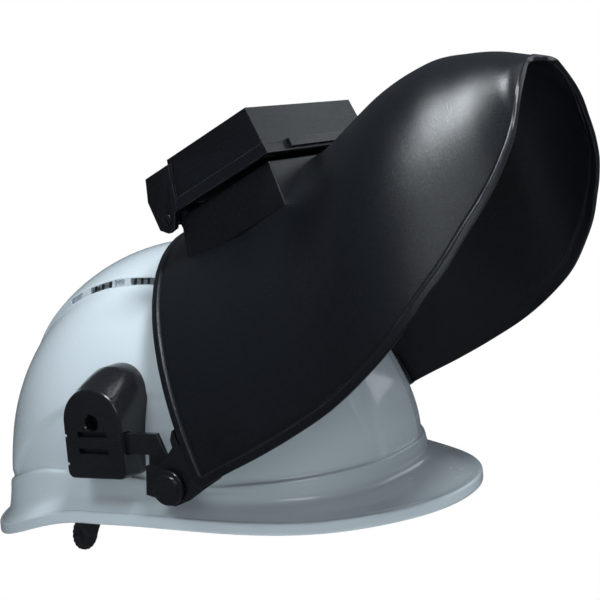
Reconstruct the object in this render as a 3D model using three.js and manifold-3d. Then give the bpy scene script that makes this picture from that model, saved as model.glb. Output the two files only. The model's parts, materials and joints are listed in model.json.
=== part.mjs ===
// A hard hat that carries a lift-front welding shield with a flip-up lens lid.
// Millimetres, +Z up, the front of the hat toward -Y, x = 0 in the middle plane.
// z = 0 is the level of the hat's rim and y = 0 the middle of the crown.
import * as THREE from "three";
import { mergeVertices } from "three/addons/utils/BufferGeometryUtils.js";
import Module from "manifold-3d";

const wasm = await Module();
wasm.setup();

// A gap between pieces that touch
const GAP = 0.3;

// Hard hat
const SHELL_WALL = 3;
const CROWN_HEIGHT = 137;
const RIM = { half: 109, front: 154, rear: 130, power: 2.12 };
const BRIM = { side: 11, front: 35, rear: 12.5 };
const LEDGE = {
  half: RIM.half - BRIM.side,
  front: RIM.front - BRIM.front,
  rear: RIM.rear - BRIM.rear,
  power: 2.3,
};
const LIP_HEIGHT = 6.5;
const EAR_ARCH = 7.5;
const NAPE_DROP = 14.5;
const LEDGE_RISE = { front: 24.5, ear: 23.5, rear: 23.5 };
const HAT_STEPS = 56;
const DOME_RINGS = 8;
const RIDGE = { raise: 4.5, half: 47 };
const VENT = { wide: 9, length: 21, starts: [-13, 20] };

// Harness, hung inside the shell
const BAND = { wall: 2.4, side: 21, front: 21, rear: 22.5, low: 6, high: 36, nape: -38, napeHigh: -6 };
const TONGUE = { low: 34, high: 60 };
const BAND_PLAN = {
  half: LEDGE.half - BAND.side,
  front: LEDGE.front - BAND.front,
  rear: LEDGE.rear - BAND.rear,
  power: 2.1,
};
const STRAP = { width: 20, thick: 1.4, below: 25, foot: 32.5 };
const KEY = { width: 24, low: 16, high: 42, thick: 7, foot: 13, footWidth: 14, footThick: 3 };
const KEY_TURNS = [42, 138, 222, 318];
const KNOB = { radius: 10.5, depth: 5.4, z: BAND.nape + 5 };

// Side adapters, on the shell over the ears
const ADAPTER = { proud: 5, bury: 12, base: 7, low: 32.2, half: 18, face: 0.6, shoulder: 68.5, slope: 7 };
const ADAPTER_OUT = RIM.half + ADAPTER.proud;
const SOCKET = { radius: 4, deep: 7, drop: 7.1 };
const SLOT = { half: 9, high: 2.8, deep: 2.5, drops: [14.3, 22.8] };

// Arms that plug into the adapters, and the pivots that they carry.
// Outlines are [back, up] from the pivot, as shares of the boss.
const PIVOT = { y: -45.6, z: 31.5, shank: 3, boss: 10, knob: 8.8, knobHigh: 4.2, nut: 6.5, nutHigh: 2.7 };
const ARM = { thick: 3.6, deep: 7, plug: 12.5, low: 12.9, high: 24, boss: 7.1 };
const ARM_IN = ADAPTER_OUT - ARM.deep;
const ARM_TAIL = [[-0.7, 0.5], [-0.7, -0.5], [1.65, -0.55]];
const ARM_BOSS = [[1.65, -0.55], [1.5, 0.93], [-0.3, 0.87], [-1, 0], [-0.7, -0.7], [0, -0.98], [0.7, -0.8]];

// Brackets between the arms and the shield's corners. The outline and the screws are
// [forward, up] in the shield's worn frame, as shares of the bracket's length.
const BRACKET = { thick: 2.6, long: 26, screw: 1.6, head: 3.2, headHigh: 1.6 };
const BRACKET_IN = ARM_IN + ARM.boss + GAP;
const BRACKET_OUT = BRACKET_IN + BRACKET.thick;
const BRACKET_OUTLINE = [
  [0.94, -0.8], [0.3, -0.8], [0.3, -1.1], [-0.46, -1.1], [-0.5, -0.7], [-0.56, -0.3], [-0.54, 0.05],
  [-0.4, 0.27], [-0.16, 0.34], [0.1, 0.3], [0.28, 0.1], [0.35, -0.24], [0.46, -0.47], [0.61, -0.51],
];
const BRACKET_SCREWS = [[0.08, -0.85], [-0.28, -0.85]];

// Shield in its worn frame: f is forward and w is up, from a point just above and before the pivot.
// Each row of the table holds shares of these sizes: drop, half width, edge f and middle f.
const LIFT = 115;
const SHIELD_FROM_PIVOT = { f: 4.3, w: 0.9 };
const SHIELD = { drop: 228.5, half: 131, reach: 126, wall: 2.4, shoulder: -17.6, brow: -8.5 };
const CORNER_HALF = BRACKET_OUT + GAP + SHIELD.wall;
const SHIELD_TABLE = [
  [0.061, 0.863, -0.095, 0.941],
  [0.153, 0.878, -0.091, 0.933],
  [0.263, 0.916, -0.091, 0.929],
  [0.363, 0.954, -0.083, 0.929],
  [0.481, 0.992, -0.06, 0.94],
  [0.569, 1.0, -0.02, 0.967],
  [0.656, 0.973, 0.04, 0.992],
  [0.722, 0.916, 0.111, 1.0],
  [0.788, 0.828, 0.19, 0.992],
  [0.832, 0.752, 0.258, 0.972],
  [0.875, 0.668, 0.325, 0.941],
  [0.919, 0.565, 0.413, 0.902],
  [0.958, 0.435, 0.532, 0.851],
  [0.985, 0.317, 0.663, 0.813],
  [1.0, 0.168, 0.77, 0.79],
];
const EDGE_TURNS = [0, 5, 11, 18, 26, 35, 44, 53, 62, 71, 80, 90];

// The lens sizes the window: the filter fills the lid, and the clear plate fills the housing.
const FILTER = { half: 54, high: 50.8, thick: 3 };
const LID = { side: 6, drop: 2.5, head: 8.1, chin: 2.3, stand: 2.7, flange: 5.8, deep: 20, wall: 2.2 };
const HOUSING = { top: -39, set: 8.5, deep: 24.5, flare: 3, side: 3, foot: 3.2, wall: 2.4 };
const FACE = SHIELD.reach - HOUSING.set;
const LID_TOP = HOUSING.top - LID.drop;
const LID_BOTTOM = LID_TOP - LID.head - FILTER.high - LID.chin + 0.5;
const LID_HALF = FILTER.half + LID.side;
const LID_BACK = FACE + LID.stand;
const LID_FLANGE = LID_BACK + LID.flange;
const LID_FACE = LID_FLANGE + LID.deep;
const HOUSING_HALF = FILTER.half + HOUSING.side;
const HOUSING_BOTTOM = LID_BOTTOM + HOUSING.foot;
const SIGHT = { half: FILTER.half - 3, high: FILTER.high - 3.8, drop: 6 };
const SIGHT_TOP = HOUSING.top - SIGHT.drop;
const PLATE = { lap: 2, thick: 2, frame: 1.9 };

// Hinge of the lid. The ear's outline is [back, up] from the pin, as shares of the ear.
const HINGE = { ahead: 1.6, above: 5.3, pin: 2, lug: 3.8, lugAt: 47, lugHalf: 5, lugRoot: 12, ear: 24 };
const PIN = { f: FACE + HINGE.ahead, w: HOUSING.top + HINGE.above };
const EAR = [
  [-1, -0.26], [-1, 0.03], [-0.54, 0.24], [0.12, 0.28], [0.275, 0.125], [0.255, -0.07],
  [0.06, -0.2], [-0.29, -0.43], [-1, -0.64],
];

const SKINS = {
  shell: { color: 0xdfe3e4, roughness: 0.22, metalness: 0 },
  gloss: { color: 0x0b0c0e, roughness: 0.25, metalness: 0 },
  shield: { color: 0x14171b, roughness: 0.5, metalness: 0 },
  harness: { color: 0x1a1c1e, roughness: 0.6, metalness: 0 },
  webbing: { color: 0x2a2d31, roughness: 0.9, metalness: 0 },
  steel: { color: 0x9a9da0, roughness: 0.3, metalness: 1 },
  filter: { color: 0x0c2416, roughness: 0.08, metalness: 0 },
  clear: { color: 0xe4ecec, roughness: 0.05, metalness: 0 },
};

// Solids

function solidFrom(points, faces) {
  let volume = 0;
  for (const [a, b, c] of faces) {
    const [p, q, r] = [points[a], points[b], points[c]];
    volume += p[0] * (q[1] * r[2] - q[2] * r[1]);
    volume += p[1] * (q[2] * r[0] - q[0] * r[2]);
    volume += p[2] * (q[0] * r[1] - q[1] * r[0]);
  }
  const turned = volume < 0 ? faces.map(([a, b, c]) => [a, c, b]) : faces;
  return new wasm.Manifold(
    new wasm.Mesh({
      numProp: 3,
      vertProperties: new Float32Array(points.flat()),
      triVerts: new Uint32Array(turned.flat()),
    }),
  );
}

function solidOf(geometry, matrix = new THREE.Matrix4()) {
  const plain = new THREE.BufferGeometry();
  const source = geometry.index ? geometry.toNonIndexed() : geometry;
  plain.setAttribute("position", source.getAttribute("position").clone());
  plain.applyMatrix4(matrix);
  const merged = mergeVertices(plain, 1e-3);
  return new wasm.Manifold(
    new wasm.Mesh({
      numProp: 3,
      vertProperties: merged.attributes.position.array,
      triVerts: new Uint32Array(merged.index.array),
    }),
  );
}

function geometryOf(solid) {
  const mesh = solid.getMesh();
  const geometry = new THREE.BufferGeometry();
  const positions = new THREE.BufferAttribute(mesh.vertProperties, 3);
  geometry.setAttribute("position", positions);
  geometry.setIndex(new THREE.BufferAttribute(mesh.triVerts, 1));
  geometry.computeVertexNormals();
  return geometry;
}

function middleOf(ring) {
  const sum = ring.reduce((s, p) => [s[0] + p[0], s[1] + p[1], s[2] + p[2]]);
  return sum.map((v) => v / ring.length);
}

// A closed body through a row of rings, each with the same number of points.
function loft(rings) {
  const n = rings[0].length;
  const points = rings.flat();
  const faces = [];
  for (let k = 0; k + 1 < rings.length; k++) {
    for (let i = 0; i < n; i++) {
      const a = k * n + i;
      const b = k * n + ((i + 1) % n);
      faces.push([a, b, b + n], [a, b + n, a + n]);
    }
  }
  const start = points.push(middleOf(rings[0])) - 1;
  const end = points.push(middleOf(rings.at(-1))) - 1;
  const top = (rings.length - 1) * n;
  for (let i = 0; i < n; i++) {
    const j = (i + 1) % n;
    faces.push([start, j, i], [end, top + i, top + j]);
  }
  return solidFrom(points, faces);
}

// A sheet with thickness: two grids of the same size, joined round their border.
function sheet(outside, inside) {
  const rows = outside.length;
  const columns = outside[0].length;
  const points = [...outside.flat(), ...inside.flat()];
  const shift = rows * columns;
  const faces = [];
  for (let r = 0; r + 1 < rows; r++) {
    for (let c = 0; c + 1 < columns; c++) {
      const a = r * columns + c;
      const b = a + 1;
      const d = a + columns;
      const e = d + 1;
      faces.push([a, b, e], [a, e, d]);
      faces.push([a + shift, e + shift, b + shift], [a + shift, d + shift, e + shift]);
    }
  }
  const border = [];
  for (let c = 0; c + 1 < columns; c++) border.push(c);
  for (let r = 0; r + 1 < rows; r++) border.push(r * columns + columns - 1);
  for (let c = columns - 1; c > 0; c--) border.push((rows - 1) * columns + c);
  for (let r = rows - 1; r > 0; r--) border.push(r * columns);
  border.forEach((a, i) => {
    const b = border[(i + 1) % border.length];
    faces.push([a, a + shift, b + shift], [a, b + shift, b]);
  });
  return solidFrom(points, faces);
}

// A flat outline of [y, z] pairs, made thick along X from x0 to x1.
function alongX(outline, x0, x1) {
  const shape = new THREE.Shape(outline.map(([a, b]) => new THREE.Vector2(a, b)));
  const low = Math.min(x0, x1);
  const depth = Math.abs(x1 - x0);
  const body = new THREE.ExtrudeGeometry(shape, { depth, bevelEnabled: false });
  const turn = new THREE.Matrix4().set(0, 0, 1, low, 1, 0, 0, 0, 0, 1, 0, 0, 0, 0, 0, 1);
  return solidOf(body, turn);
}

function box(x0, x1, y0, y1, z0, z1) {
  const body = new THREE.BoxGeometry(Math.abs(x1 - x0), Math.abs(y1 - y0), Math.abs(z1 - z0));
  const middle = [(x0 + x1) / 2, (y0 + y1) / 2, (z0 + z1) / 2];
  return solidOf(body, new THREE.Matrix4().makeTranslation(...middle));
}

function rodAlongX(radius, x0, x1, y, z, sides = 16) {
  const body = new THREE.CylinderGeometry(radius, radius, Math.abs(x1 - x0), sides);
  const turn = new THREE.Matrix4().makeRotationZ(Math.PI / 2);
  const place = new THREE.Matrix4().makeTranslation((x0 + x1) / 2, y, z);
  return solidOf(body, place.multiply(turn));
}

function joined(solids) {
  return solids.reduce((all, one) => all.add(one));
}

// Curves of the hat

function easeBetween(a, b, share) {
  const t = Math.min(1, Math.max(0, share));
  return a + (b - a) * t * t * (3 - 2 * t);
}

// A point of an egg-shaped plan outline; turn 0 is the wearer's left, a quarter turn the rear.
function planPoint(plan, turn, shrink = 0) {
  const c = Math.cos(turn);
  const s = Math.sin(turn);
  const lengthways = (s > 0 ? plan.rear : plan.front) - shrink;
  const power = 2 / plan.power;
  const x = (plan.half - shrink) * Math.sign(c) * Math.abs(c) ** power;
  const y = lengthways * Math.sign(s) * Math.abs(s) ** power;
  return [x, y];
}

function mixPlan(a, b, share) {
  const mixed = {};
  for (const key of Object.keys(a)) mixed[key] = a[key] + (b[key] - a[key]) * share;
  return mixed;
}

// The rim is low at the front and the nape and arches over the ears.
function rimHeight(y) {
  if (y < 0) return easeBetween(EAR_ARCH, 0, (-y / RIM.front - 0.03) / 0.75);
  return easeBetween(EAR_ARCH, -NAPE_DROP, (y / RIM.rear - 0.115) / 0.81);
}

// The ledge follows the rim, one band height above it.
function ledgeHeight(y) {
  const ear = EAR_ARCH + LEDGE_RISE.ear;
  if (y < 0) return easeBetween(ear, LEDGE_RISE.front, (-y / RIM.front + 0.03) / 0.39);
  return easeBetween(ear, LEDGE_RISE.rear - NAPE_DROP, (y / RIM.rear - 0.31) / 0.73);
}

function ringOf(plan, shrink, heightAt) {
  return Array.from({ length: HAT_STEPS }, (_, i) => {
    const turn = (2 * Math.PI * (i + 0.5)) / HAT_STEPS;
    const [x, y] = planPoint(plan, turn, shrink);
    return [x, y, heightAt(y)];
  });
}

// Dome rings from the ledge to the pole. raise lifts the crown, inset moves the wall inwards.
function domeRings(inset, raise) {
  const rings = [];
  const shelf = SHELL_WALL / 2;
  for (let k = 0; k <= DOME_RINGS; k++) {
    const climb = (Math.PI / 2) * Math.min(0.985, k / DOME_RINGS);
    rings.push(
      Array.from({ length: HAT_STEPS }, (_, i) => {
        const turn = (2 * Math.PI * (i + 0.5)) / HAT_STEPS;
        const endwise = Math.abs(Math.sin(turn));
        const power = 2 / (1.95 + (turn < Math.PI ? 0.12 : -0.2) * endwise);
        const [x, y] = planPoint(LEDGE, turn, inset + shelf);
        const out = Math.cos(climb) ** power;
        const up = Math.sin(climb) ** power;
        const foot = ledgeHeight(y) + 1.3 * shelf - 0.6 * Math.max(0, inset);
        return [x * out, y * out, foot + (CROWN_HEIGHT + raise - inset - foot) * up];
      }),
    );
  }
  return rings;
}

// fillet is the rounding of the lip and of the ledge.
function hatOutside(raise = 0, grow = 0) {
  const foot = mixPlan(RIM, LEDGE, 0.5);
  const fillet = 0.4 * SHELL_WALL;
  const lip = (share) => (y) => rimHeight(y) + LIP_HEIGHT * share;
  return loft([
    ringOf(RIM, fillet / 2 - grow, (y) => rimHeight(y) - grow),
    ringOf(RIM, -grow, (y) => rimHeight(y) + fillet),
    ringOf(RIM, -grow, lip(0.85)),
    ringOf(RIM, fillet - grow, lip(1)),
    ringOf(foot, -SHELL_WALL / 3 - grow, lip(1.34)),
    ringOf(LEDGE, -SHELL_WALL - grow, lip(1.92)),
    ringOf(LEDGE, -SHELL_WALL / 4 - grow, (y) => ledgeHeight(y) - SHELL_WALL / 2),
    ringOf(LEDGE, -grow, (y) => ledgeHeight(y)),
    ...domeRings(-grow, raise + grow),
  ]);
}

// The hollow of the shell; shrink draws it in further, for what hangs inside.
function hatInside(shrink = 0) {
  const foot = mixPlan(RIM, LEDGE, 0.5);
  const wall = SHELL_WALL + shrink;
  const lip = (share) => (y) => rimHeight(y) + LIP_HEIGHT * share;
  return loft([
    ringOf(RIM, wall, () => -NAPE_DROP - LIP_HEIGHT),
    ringOf(RIM, wall, lip(0.4)),
    ringOf(foot, wall - SHELL_WALL / 3, lip(0.88)),
    ringOf(LEDGE, wall - SHELL_WALL * 0.67, lip(1.46)),
    ringOf(LEDGE, wall - SHELL_WALL / 3, (y) => ledgeHeight(y) - SHELL_WALL),
    ...domeRings(wall, 0),
  ]);
}

// The raised crown ridge, narrower toward both ends, seen from above.
function ridgeBlock() {
  const { half } = RIDGE;
  const { front, rear } = LEDGE;
  const back = [[half * 0.62, rear * 0.885], [half, rear * 0.36]];
  const plan = [...back, [half, front * -0.46], [half * 0.7, front * -0.94]];
  const outline = [...plan, ...plan.map(([x, y]) => [-x, y]).reverse()];
  const shape = new THREE.Shape(outline.map(([a, b]) => new THREE.Vector2(a, b)));
  const depth = CROWN_HEIGHT + 2 * RIDGE.raise;
  return solidOf(new THREE.ExtrudeGeometry(shape, { depth, bevelEnabled: false }));
}

function hatShell() {
  let body = hatOutside().add(hatOutside(RIDGE.raise).intersect(ridgeBlock()));
  body = body.subtract(hatInside());
  const span = [CROWN_HEIGHT * 0.6, CROWN_HEIGHT * 1.2];
  for (const side of [-1, 1]) {
    for (const start of VENT.starts) {
      const x = [side * (RIDGE.half - SHELL_WALL / 2), side * (RIDGE.half + VENT.wide)];
      body = body.subtract(box(...x, start, start + VENT.length, ...span));
    }
  }
  return body;
}

// Harness

// The band drops to a narrow tongue at the nape, which carries the knob.
function bandLow(x, y) {
  return y < 0 ? BAND.low : easeBetween(BAND.nape, BAND.low, Math.abs(x) / TONGUE.low);
}

function bandHigh(x, y) {
  return y < 0 ? BAND.high : easeBetween(BAND.napeHigh, BAND.high, Math.abs(x) / TONGUE.high);
}

// The space inside the headband's outline, drawn in by shrink and made taller by extra.
function bandSolid(shrink, extra) {
  const ring = (heightAt) => {
    const steps = 56;
    return Array.from({ length: steps }, (_, i) => {
      const turn = (2 * Math.PI * (i + 0.5)) / steps;
      const [x, y] = planPoint(BAND_PLAN, turn, shrink);
      return [x, y, heightAt(x, y)];
    });
  };
  return loft([ring((x, y) => bandLow(x, y) - extra), ring((x, y) => bandHigh(x, y) + extra)]);
}

function headband() {
  return bandSolid(0, 0).subtract(bandSolid(BAND.wall, BAND.high));
}

// Where a harness key stands on the shell's inner wall, and the way it faces.
function keyPlace(degrees) {
  const turn = THREE.MathUtils.degToRad(degrees);
  const [x, y] = planPoint(LEDGE, turn, SHELL_WALL * 1.67);
  return { y, heading: Math.atan2(y, x), reach: Math.hypot(x, y) };
}

// A flat key that hugs the shell and carries a strap end and the headband.
function key(degrees, inside) {
  const { y, heading, reach } = keyPlace(degrees);
  const { width, low, high, thick, foot, footWidth, footThick } = KEY;
  const base = rimHeight(y);
  const start = reach - thick;
  const plate = box(start, reach + thick, -width / 2, width / 2, base + low, base + high);
  const tread = [-footWidth / 2, footWidth / 2, base + low, base + low + footThick];
  const step = box(start - foot, start + GAP, ...tread);
  const turned = plate.add(step).rotate([0, 0, THREE.MathUtils.radToDeg(heading)]);
  return turned.intersect(inside).subtract(bandSolid(-GAP, BAND.high));
}

// A webbing strap that arches over the head between two opposite keys.
function strap(from, to, lift) {
  const steps = 18;
  const ends = [keyPlace(from), keyPlace(to)];
  const crown = CROWN_HEIGHT - STRAP.below + lift;
  const line = (offset, side) => {
    return Array.from({ length: steps + 1 }, (_, i) => {
      const turn = Math.PI * (i / steps);
      const end = ends[turn < Math.PI / 2 ? 0 : 1];
      const reach = (end.reach - KEY.thick - STRAP.thick - 2 * GAP + offset) * Math.abs(Math.cos(turn));
      const foot = STRAP.foot + rimHeight(end.y);
      const z = foot + (crown - foot) * Math.sin(turn) ** 0.85 + offset * Math.sin(turn);
      const [c, s] = [Math.cos(end.heading), Math.sin(end.heading)];
      const across = (turn < Math.PI / 2 ? side : -side) * (STRAP.width / 2);
      return [reach * c - across * s, reach * s + across * c, z];
    });
  };
  const t = STRAP.thick;
  return sheet([line(t, -1), line(t, 1)], [line(0, -1), line(0, 1)]);
}

function knob() {
  const sides = 24;
  const { radius, depth, z } = KNOB;
  const start = BAND_PLAN.rear + GAP;
  const ring = (share, along) =>
    Array.from({ length: sides }, (_, i) => {
      const turn = (2 * Math.PI * i) / sides;
      const r = radius * (i % 2 ? share : share - 0.07);
      return [r * Math.cos(turn), start + depth * along, z + r * Math.sin(turn)];
    });
  return loft([ring(0.76, 0), ring(1, 0.25), ring(1, 0.8), ring(0.82, 1)]);
}

// Adapters, arms and pivots

function arch(half, low, shoulder) {
  const steps = 12;
  const outline = [[-half, low], [half, low]];
  for (let i = 0; i <= steps; i++) {
    const turn = (Math.PI * i) / steps;
    outline.push([half * Math.cos(turn), shoulder + half * Math.sin(turn)]);
  }
  return outline;
}

function adapter(side, hat) {
  const { base, bury, low, half, face, shoulder, slope } = ADAPTER;
  const at = (outline, x) => outline.map(([y, z]) => [side * x, y, z]);
  const front = arch(half - face, low + face, shoulder - slope);
  const middle = (low + shoulder + half) / 2;
  const edge = front.map(([y, z]) => [y * 0.93, middle + (z - middle) * 0.96]);
  const foot = arch(half, low, shoulder);
  const start = LEDGE.half - bury;
  const levels = [at(foot, start), at(foot, start + base), at(front, ADAPTER_OUT - 1), at(edge, ADAPTER_OUT)];
  let body = loft(levels).subtract(hat);
  const out = side * (ADAPTER_OUT + 1);
  const socket = side * (ADAPTER_OUT - SOCKET.deep);
  body = body.subtract(rodAlongX(SOCKET.radius, socket, out, 0, shoulder - SOCKET.drop));
  for (const drop of SLOT.drops) {
    const z = shoulder - drop;
    const back = side * (ADAPTER_OUT - SLOT.deep);
    body = body.subtract(box(back, out, -SLOT.half, SLOT.half, z, z + SLOT.high));
  }
  const pocket = [side * (ARM_IN - GAP), side * (ARM_IN + ARM.thick + GAP)];
  const tip = ARM.plug - half + GAP;
  return body.subtract(box(...pocket, -half - ARM.plug, tip, low + ARM.low, low + ARM.high));
}

function arm(side) {
  const { y, z, boss: size, shank } = PIVOT;
  const shares = ([back, up]) => [y + back * size, z + up * size];
  const tip = ARM.plug - ADAPTER.half;
  const [low, high] = [ADAPTER.low + ARM.low + GAP, ADAPTER.low + ARM.high - GAP];
  const neck = [[tip, low], [tip, high], [y + size, high], [y + 0.5 * size, z + 1.2 * size]];
  const plate = [...neck, ...ARM_TAIL.map(shares), [y + 1.5 * size, low]];
  const body = alongX(plate, side * ARM_IN, side * (ARM_IN + ARM.thick));
  const boss = alongX(ARM_BOSS.map(shares), side * ARM_IN, side * (ARM_IN + ARM.boss));
  const hole = rodAlongX(shank + GAP, side * (ARM_IN - 1), side * (ARM_IN + ARM.boss + 1), y, z);
  return body.add(boss).subtract(hole);
}

// The knob outside the bracket with its shank through bracket and arm, and a nut behind.
function pivotBolt(side) {
  const { y, z, shank, knob: wide, knobHigh, nut, nutHigh } = PIVOT;
  const start = BRACKET_OUT + GAP;
  const end = ARM_IN - GAP;
  return joined([
    rodAlongX(shank, side * (end - nutHigh), side * (start + 1), y, z),
    rodAlongX(wide, side * start, side * (start + knobHigh * 0.7), y, z, 24),
    rodAlongX(wide * 0.75, side * (start + knobHigh * 0.5), side * (start + knobHigh), y, z, 24),
    rodAlongX(nut, side * (end - nutHigh), side * end, y, z, 6),
  ]);
}

// Shield, in the worn frame: a point is [x, -f, w]

function shieldRow(w) {
  const down = -w / SHIELD.drop;
  const table = SHIELD_TABLE;
  let k = 0;
  while (k + 2 < table.length && table[k + 1][0] < down) k++;
  const share = (down - table[k][0]) / (table[k + 1][0] - table[k][0]);
  const mix = (i) => table[k][i] + (table[k + 1][i] - table[k][i]) * share;
  const widest = table[5];
  const fade = easeBetween(1, 0, (down - table[1][0]) / (widest[0] - table[1][0]));
  const corner = CORNER_HALF - table[0][1] * SHIELD.half;
  return [mix(1) * SHIELD.half + corner * fade, mix(2) * SHIELD.reach, mix(3) * SHIELD.reach];
}

// turn runs from 0 at the free edge to 90 degrees in the middle of the front.
function shieldPoint(turn, side, level) {
  const angle = THREE.MathUtils.degToRad(turn);
  const brow = SHIELD.shoulder + (SHIELD.brow - SHIELD.shoulder) * Math.sin(angle) ** 2.5;
  const last = SHIELD_TABLE.length - 1;
  const blend = 4;
  const at = (k) => -SHIELD_TABLE[k][0] * SHIELD.drop;
  const w = level < blend ? brow + (at(blend) - brow) * (level / blend) : at(Math.min(level, last));
  const [half, edge, middle] = shieldRow(w);
  const round = 2 / easeBetween(1.88, 2.42, (-w / SHIELD.drop - 0.35) / 0.263);
  const x = side * half * Math.cos(angle) ** round;
  const f = edge + (middle - edge) * Math.sin(angle) ** round;
  return [x, -f, w];
}

// grow moves the outside face out; wall is the sheet's thickness below it.
function shieldShell(wall = SHIELD.wall, grow = 0) {
  const far = EDGE_TURNS.slice(0, -1).reverse();
  const turns = [...EDGE_TURNS.map((t) => [t, -1]), ...far.map((t) => [t, 1])];
  const middle = SHIELD_TABLE.map((_, k) => turns.map(([t, side]) => shieldPoint(t, side, k)));
  const rows = middle.length;
  const columns = turns.length;
  const moved = (depth) => {
    return middle.map((row, r) => {
      return row.map((p, c) => {
        const along = new THREE.Vector3(...row[Math.min(c + 1, columns - 1)]);
        along.sub(new THREE.Vector3(...row[Math.max(c - 1, 0)]));
        const down = new THREE.Vector3(...middle[Math.min(r + 1, rows - 1)][c]);
        down.sub(new THREE.Vector3(...middle[Math.max(r - 1, 0)][c]));
        const normal = along.cross(down).normalize().multiplyScalar(depth);
        return normal.add(new THREE.Vector3(...p)).toArray();
      });
    });
  };
  return sheet(moved(-grow), moved(wall));
}

// A box given by its forward and upward ranges in the worn frame.
function wornBox(half, back, front, low, high) {
  return box(-half, half, -front, -back, low, high);
}

function rectangleAt(half, f, low, high) {
  return [[-half, -f, low], [half, -f, low], [half, -f, high], [-half, -f, high]];
}

function shieldBody() {
  const { top, deep, flare, wall } = HOUSING;
  const half = HOUSING_HALF;
  const bottom = HOUSING_BOTTOM;
  const back = FACE - deep;
  const wide = half + flare;
  const housing = loft([
    rectangleAt(wide, back, bottom + flare / 2, top + wall * 3.3),
    rectangleAt(half, FACE, bottom, top),
  ]);
  const hollow = loft([
    rectangleAt(wide - wall, back - 1, bottom + flare / 2 + wall, top + wall * 2.3),
    rectangleAt(half - wall, FACE - deep * 0.29, bottom + wall, top - wall),
  ]);
  const sight = wornBox(SIGHT.half, back - 2, FACE + 1, SIGHT_TOP - SIGHT.high, SIGHT_TOP);
  const lap = PLATE.lap + GAP;
  const seat = FACE - PLATE.thick - PLATE.frame - 2 * GAP;
  const low = SIGHT_TOP - SIGHT.high - lap;
  const pocket = wornBox(FILTER.half + GAP, seat, FACE + 1, low, SIGHT_TOP + lap);
  const window = wornBox(half - 1, back - SHIELD.reach * 0.2, SHIELD.reach + deep, bottom + wall, top - wall);
  const behind = shieldShell(deep * 1.15, -SHIELD.wall / 2);
  const walls = housing.subtract(hollow).subtract(behind);
  let body = shieldShell().subtract(window).add(walls).subtract(sight).subtract(pocket);
  const { lug, lugAt, lugHalf, lugRoot, pin } = HINGE;
  for (const side of [-1, 1]) {
    const across = [side * (lugAt - lugHalf), side * (lugAt + lugHalf)];
    const root = [[lugRoot * 0.92, 0], [lugRoot, top - wall - PIN.w], [lugRoot * 0.17, top - wall - PIN.w]];
    const outline = [[-lug * 0.26, 0], ...root].map(([y, w]) => [y - PIN.f, w + PIN.w]);
    body = body.add(alongX(outline, ...across));
    body = body.add(rodAlongX(lug, ...across, -PIN.f, PIN.w));
    for (const [f, w] of bracketScrews()) {
      const reach = [side * BRACKET_IN, side * (screwTip(f) + GAP)];
      body = body.subtract(rodAlongX(BRACKET.screw + GAP, ...reach, -f, w, 12));
    }
  }
  return body.subtract(rodAlongX(pin + GAP, -LID_HALF, LID_HALF, -PIN.f, PIN.w));
}

function bracketScrews() {
  return BRACKET_SCREWS.map(([f, w]) => [f * BRACKET.long, w * BRACKET.long]);
}

// How far out a screw reaches: it ends inside the shield's wall.
function screwTip(f) {
  return BRACKET_OUT + SHIELD.wall * (f > 0 ? 0.25 : 0.58);
}

// outer is the shield's wall with all the room outside it and a gap above its edge.
function bracket(side, outer) {
  const { long, screw } = BRACKET;
  const outline = BRACKET_OUTLINE.map(([f, w]) => [-f * long, w * long]);
  let body = alongX(outline, side * BRACKET_IN, side * BRACKET_OUT);
  const across = [side * (BRACKET_IN - 1), side * (BRACKET_OUT + 1)];
  for (const [f, w] of bracketScrews()) {
    body = body.subtract(rodAlongX(screw + GAP, ...across, -f, w, 12));
  }
  const { f, w } = SHIELD_FROM_PIVOT;
  return body.subtract(rodAlongX(PIVOT.shank + GAP, ...across, f, -w)).subtract(outer);
}

// A screw with its head on the bracket's inner face.
function bracketScrew(side, f, w) {
  const { screw, head, headHigh } = BRACKET;
  const start = BRACKET_IN - GAP;
  return joined([
    rodAlongX(screw, side * (start - 1), side * screwTip(f), -f, w, 12),
    rodAlongX(head, side * (start - headHigh), side * start, -f, w, 12),
  ]);
}

// A rectangular frame that keeps a plate in its pocket.
function frame(half, low, high, lap, back, front) {
  const rim = wornBox(half, back, front, low, high);
  return rim.subtract(wornBox(half - lap, back - 1, front + 1, low + lap, high - lap));
}

// Lid, with the dark filter in it

const LID_SEAT = {
  low: LID_BOTTOM + LID.chin - 0.5,
  high: LID_TOP - LID.head + 0.2,
  half: FILTER.half + LID.side / 3,
};

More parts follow.
